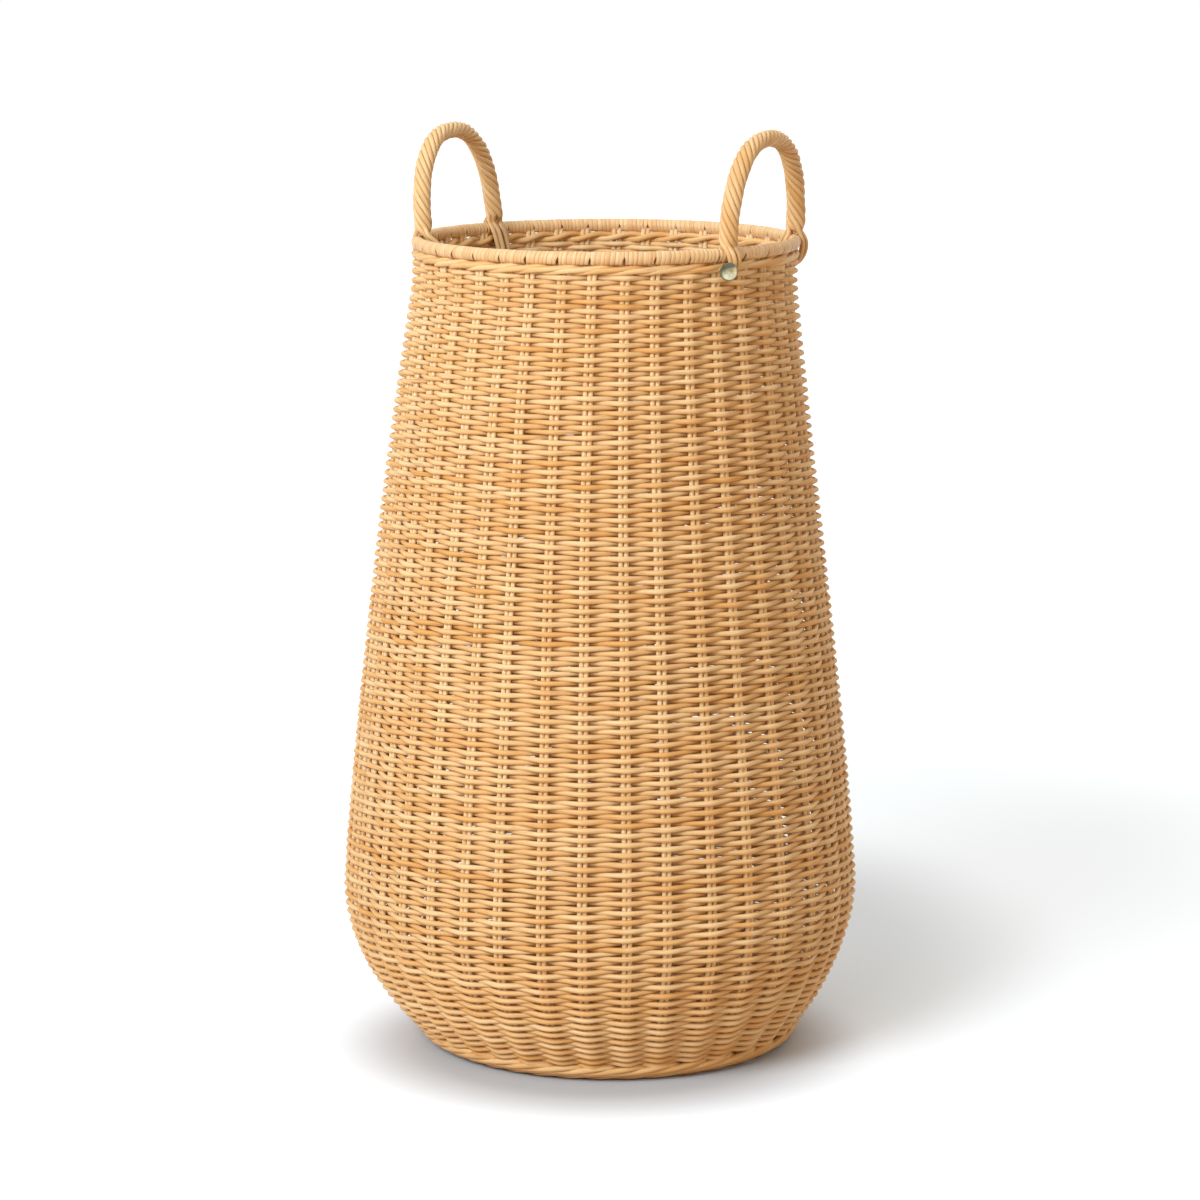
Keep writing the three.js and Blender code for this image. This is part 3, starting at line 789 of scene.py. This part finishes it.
def makeHandle(plan):
    arch, strands, top = woundStrands(plan)
    near = plan["bearing"] + plan["nearEnd"] * handles["spread"]
    far = plan["bearing"] - plan["nearEnd"] * handles["spread"]
    nearTails = tailsAt(near, plan["near"], np.array([strand[0] for strand in strands]))
    farTails = tailsAt(far, plan["far"], np.array([strand[-1] for strand in strands]))
    bundle = RodBundle(handles["sides"])
    dice = np.random.default_rng(61 + plan["nearEnd"])
    for nearTail, strand, farTail in zip(nearTails, strands, farTails):
        path = smoothThrough(nearTail[::-1] + list(strand) + farTail, handles["spacing"])
        normals = carriedNormals(path, (1, 0, 0))
        nearest = np.linalg.norm(path[:, None] - arch, axis=2).argmin(axis=1)
        outward = path - arch[nearest]
        outward /= np.linalg.norm(outward, axis=1)[:, None]
        thick = handles["legStrand"] * plan["stout"] * (1 - top) + handles["topStrand"] * top
        wound = np.clip((path[:, 2] - body["rimHeight"]) / handles["taper"], 0, 1)
        thick = handles["tailStrand"] * (1 - wound) + thick[nearest] * wound
        thick = thick * dice.uniform(*handles["thickness"])
        bundle.add(path, normals, thick, diceTone(dice, handles["tone"]), outward=outward)
    side = plan["name"]
    bundle.build(f"{side}HandleStrands", handleFinish, "handle_rods", f"handle_strands_{side}")


for plan in handlePlans:
    makeHandle(plan)

print("base")
base = {
    "sticks": 5, "stickRadius": 0.0017, "stickPitch": 0.0040, "straight": 0.021, "edge": 0.1275,
    "lower": 0.01443, "middle": 0.0165, "upper": 0.01857, "sides": 8,
    "firstRow": 0.0265, "lastRow": 0.1235, "rowPitch": 0.0037, "rowRadius": 0.0019, "reach": 0.0034,
    "step": 0.0045, "stickStep": 0.004, "waver": 0.0003, "waverPace": 3,
    "stickTone": (0.4, 0.2), "rowTone": (0.5, 0.25),
}
baseCentre = atRadius(0, 0, body["footHeight"]) * (1, 1, 0)


# Two crossed bundles, whose sticks spread into spokes
def makeBaseSticks():
    bundle = RodBundle(base["sides"])
    dice = np.random.default_rng(81)
    fan = 90 / base["sticks"] * degree
    for quarter, height in ((0, base["lower"]), (1, base["upper"])):
        for stick in range(base["sticks"]):
            rank = stick - (base["sticks"] - 1) / 2
            edge = (base["edge"] * math.cos(rank * fan), base["edge"] * math.sin(rank * fan))
            near = (base["straight"], rank * base["stickPitch"])
            half = [(0, near[1], height), (near[0], near[1], height),
                    (near[0] * 2, edge[1] * near[0] * 2 / edge[0], base["middle"]), (*edge, base["middle"])]
            points = [(-x, y, z) for x, y, z in half[:0:-1]] + half
            if quarter:
                points = [(-y, x, z) for x, y, z in points]
            path = smoothThrough(points, base["stickStep"]) + baseCentre
            up = np.broadcast_to((0, 0, 1.0), path.shape)
            bundle.add(path, up, base["stickRadius"], diceTone(dice, base["stickTone"]))
    bundle.build("baseSticks", stakeFinish, "stake_rods", "base_cross_lower", "base_cross_upper")


def makeBaseTwining():
    bundle = RodBundle(base["sides"])
    dice = np.random.default_rng(82)
    spokes = 4 * base["sticks"]
    rows = int((base["lastRow"] - base["firstRow"]) / base["rowPitch"]) + 1
    for row in range(rows):
        radius = base["firstRow"] + row * base["rowPitch"]
        steps = spokes * max(4, round(math.tau * radius / spokes / base["step"]))
        turn = np.arange(steps) * math.tau / steps
        waver = roundWaves(turn, base["waverPace"], seed=500 + row, count=4)
        radius = radius + base["waver"] * waver
        height = base["middle"] + base["reach"] * np.cos(spokes / 2 * turn + math.pi * row)
        path = np.stack([radius * np.cos(turn), radius * np.sin(turn), height], axis=-1) + baseCentre
        up = np.broadcast_to((0, 0, 1.0), path.shape)
        bundle.add(path, up, base["rowRadius"], diceTone(dice, base["rowTone"]), closed=True)
    bundle.build("baseTwining", weaverFinish, "weaver_rods", "base_weave")


makeBaseSticks()
makeBaseTwining()

print("badge")
badge = {
    "radius": 0.0066, "edge": 0.0009, "bead": 0.00045, "groove": 0.00022, "crown": 0.0012, "rings": 5,
    "bearing": 35.3, "facing": 11.0, "drop": 0.0154, "seat": 0.1486, "segments": 48,
    "clean": 0.80, "patinaBlur": 0.12, "patina": 0.75,  # polished share of the radius, dark beyond it
    # a painted dark reflection over the dome's top and left side
    "patinaAndReflection": 0.78, "reflectionTop": 0.15, "reflectionTilt": 0.25, "reflectionSide": 0.52, "reflectionBlur": 0.30,
}


# A bare domed disc with a rolled edge, with patina near its rim and a painted dark reflection over its top
# and left side
def makeBadge():
    bpy.ops.object.select_all(action="DESELECT")
    bpy.ops.mesh.primitive_cylinder_add(
        vertices=badge["segments"], radius=badge["radius"], depth=badge["edge"],
    )
    dome = bpy.context.active_object
    dome.name = "badgeDome"
    bpy.ops.object.mode_set(mode="EDIT")
    bpy.ops.mesh.select_mode(type="FACE")
    bpy.ops.mesh.select_all(action="DESELECT")
    bpy.ops.object.mode_set(mode="OBJECT")
    for face in dome.data.polygons:
        face.select = face.normal.z > 0.9  # the disc's top
    bpy.ops.object.mode_set(mode="EDIT")
    bpy.ops.mesh.inset(thickness=badge["bead"] / 2, depth=badge["bead"] / 2)
    bpy.ops.mesh.inset(thickness=badge["bead"] / 2, depth=0)
    bpy.ops.mesh.inset(thickness=badge["bead"] / 2, depth=-badge["groove"])
    inner = badge["radius"] - 1.5 * badge["bead"]
    for ring in range(badge["rings"]):
        outside, inside = 1 - ring / badge["rings"], 1 - (ring + 1) / badge["rings"]
        lift = badge["crown"] * (outside ** 2 - inside ** 2)
        if ring + 1 < badge["rings"]:
            bpy.ops.mesh.inset(thickness=inner / badge["rings"], depth=lift)
        else:
            bpy.ops.mesh.poke(offset=lift)
    bpy.ops.object.mode_set(mode="OBJECT")
    bpy.ops.object.modifier_add(type="SUBSURF")
    dome.modifiers[-1].levels = 1
    bpy.ops.object.modifier_apply(modifier=dome.modifiers[-1].name)
    dome.data.attributes.new("shade", "FLOAT", "POINT").data.foreach_set("value", badgeShades(dome))
    turn = badge["facing"] * degree
    height = body["rimHeight"] - badge["drop"]
    seat = atRadius(badge["seat"], badge["bearing"], height)
    seat[0] += body["rimShift"] - centreShift(height)
    out = Vector((math.sin(turn), -math.cos(turn), 0))
    dome.rotation_euler = out.to_track_quat("Z", "Y").to_euler()
    dome.location = Vector(seat) + out * badge["edge"] / 2
    bpy.ops.object.transform_apply(location=True, rotation=True, scale=True)
    finishPiece(dome, brassFinish, "badge_brass", "badge_disc")


# Darker brass: patina near the rim, and a painted dark reflection over the top and left side
def badgeShades(dome):
    across = np.array([point.co.x for point in dome.data.vertices]) / badge["radius"]
    above = np.array([point.co.y for point in dome.data.vertices]) / badge["radius"]
    rim = np.clip((np.hypot(across, above) - badge["clean"]) / badge["patinaBlur"], 0, 1)
    tilted = above - badge["reflectionTop"] - badge["reflectionTilt"] * across
    top = np.clip(tilted / badge["reflectionBlur"], 0, 1)
    side = np.clip((-across - badge["reflectionSide"]) / badge["reflectionBlur"], 0, 1)
    return np.maximum(badge["patina"] * rim, badge["patinaAndReflection"] * np.maximum(top, side))


makeBadge()

print("floor and light")
floor = {
    "size": 40.0, "colour": (0.72, 0.785, 0.85, 1), "bounce": (0.54, 0.41, 0.30, 1),
    "middle": (0.0, -0.04, 0), "footEdge": 0.130, "clear": 0.215,  # the floor glows white beyond this
    "shade": (0.12, 0.156, 0), "shadeScale": (1, 0.6, 1), "shadeStart": 0.10, "shadeEnd": 0.28,
    "contactShadow": (0.60, 0.68, 0.755, 1), "contactStart": 0.12, "contactEnd": 0.148,  # painted contact shadow, darker under the foot
    "shadeGlow": 0.17, "openGlow": 0.42, "farGlow": 0.36, "farStart": 0.35, "farEnd": 0.95,
    "roughness": 0.9,
}
lamps = {  # a soft key light from the left, a warm fill from the right and a broad one from above
    "keyLamp": {"place": (-1.62, -2.27, 1.85), "aim": (0, 0, 0.3), "size": 1.5, "power": 72.0,
                "colour": (0.98, 1.0, 1.03)},
    "fillLamp": {"place": (1.9, -1.1, 0.5), "aim": (0, 0, 0.3), "size": 1.0, "power": 3.0,
                 "colour": (1.0, 0.55, 0.15)},
    "topLamp": {"place": (0, 0.3, 2.6), "aim": (0, 0, 0), "size": 2.4, "power": 12.0,
                "colour": (1.0, 0.98, 0.95)},
}
sky = {"strength": 0.50, "colour": (1.0, 0.945, 0.86, 1)}
white = (1, 1, 1, 1)
black = (0, 0, 0, 1)


# 1 for the rays that see the background, so that it shows white to them alone
def seenDirectly(finish):
    kinds = ("Is Camera Ray", "Is Glossy Ray", "Is Transmission Ray")
    eye, glossy, clear = [finish.add("ShaderNodeLightPath", {}, {}, kind) for kind in kinds]
    return finish.clamp(eye + glossy + clear)


def makeFloor():
    bpy.ops.object.select_all(action="DESELECT")
    bpy.ops.mesh.primitive_plane_add(size=floor["size"], location=(0, 0, 0))
    ground = bpy.context.active_object
    ground.name = "studioFloor"
    finish = Finish("paleFloor")
    place = finish.add("ShaderNodeTexCoord", {}, {}, "Object")
    offFoot = finish.distance(place, floor["middle"])
    offShade = finish.distance(finish.stretch(place, floor["shadeScale"]), floor["shade"])
    # Painted shadow: the glow that camera rays see is lower near the foot and over a patch to the right and
    # behind
    nearGlow = finish.between(
        offShade, floor["shadeStart"], floor["shadeEnd"], floor["shadeGlow"], floor["openGlow"],
    )
    farGlow = finish.between(offShade, floor["farStart"], floor["farEnd"], 0.0, floor["farGlow"])
    glow = nearGlow * finish.between(offFoot, floor["footEdge"], floor["clear"]) + farGlow
    offContact = finish.between(offFoot, floor["contactStart"], floor["contactEnd"])
    seen = finish.mix(offContact, floor["contactShadow"], floor["colour"])
    finish.surface(
        Base_Color=finish.mix(seenDirectly(finish), floor["bounce"], seen),
        Roughness=floor["roughness"],
        Specular_IOR_Level=0.0,
        Emission_Color=finish.mix(glow * seenDirectly(finish), black, white),
        Emission_Strength=1.0,
    )
    ground.data.materials.append(finish.material)


def makeLamp(name, lamp):
    bpy.ops.object.light_add(type="AREA", location=lamp["place"])
    light = bpy.context.active_object
    light.name = name
    light.data.shape = "DISK"
    light.data.size = lamp["size"]
    light.data.energy = lamp["power"]
    light.data.color = lamp["colour"]
    aim = Vector(lamp["aim"]) - Vector(lamp["place"])
    light.rotation_euler = aim.to_track_quat("-Z", "Y").to_euler()


class SkyFinish(Finish):
    def __init__(self, world):
        world.use_nodes = True
        self.tree = world.node_tree
        self.shader = self.tree.nodes["Background"]


def makeSky():
    world = bpy.data.worlds.new("studioSky")
    bpy.context.scene.world = world
    finish = SkyFinish(world)
    seen = seenDirectly(finish)
    finish.feed(finish.shader.inputs["Strength"], sky["strength"] + (1 - sky["strength"]) * seen)
    finish.feed(finish.shader.inputs["Color"], finish.mix(seen, sky["colour"], white))


makeFloor()
for name, lamp in lamps.items():
    makeLamp(name, lamp)
makeSky()
bpy.context.scene.view_settings.view_transform = "Standard"

print("carried nodes")
carried = {"rim_hoop": coreFinish, "handle_core_left": coreFinish, "handle_core_right": coreFinish,
           "badge_pin": brassFinish}
for node, material in carried.items():
    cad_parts[node].data.materials.clear()
    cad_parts[node].data.materials.append(material)
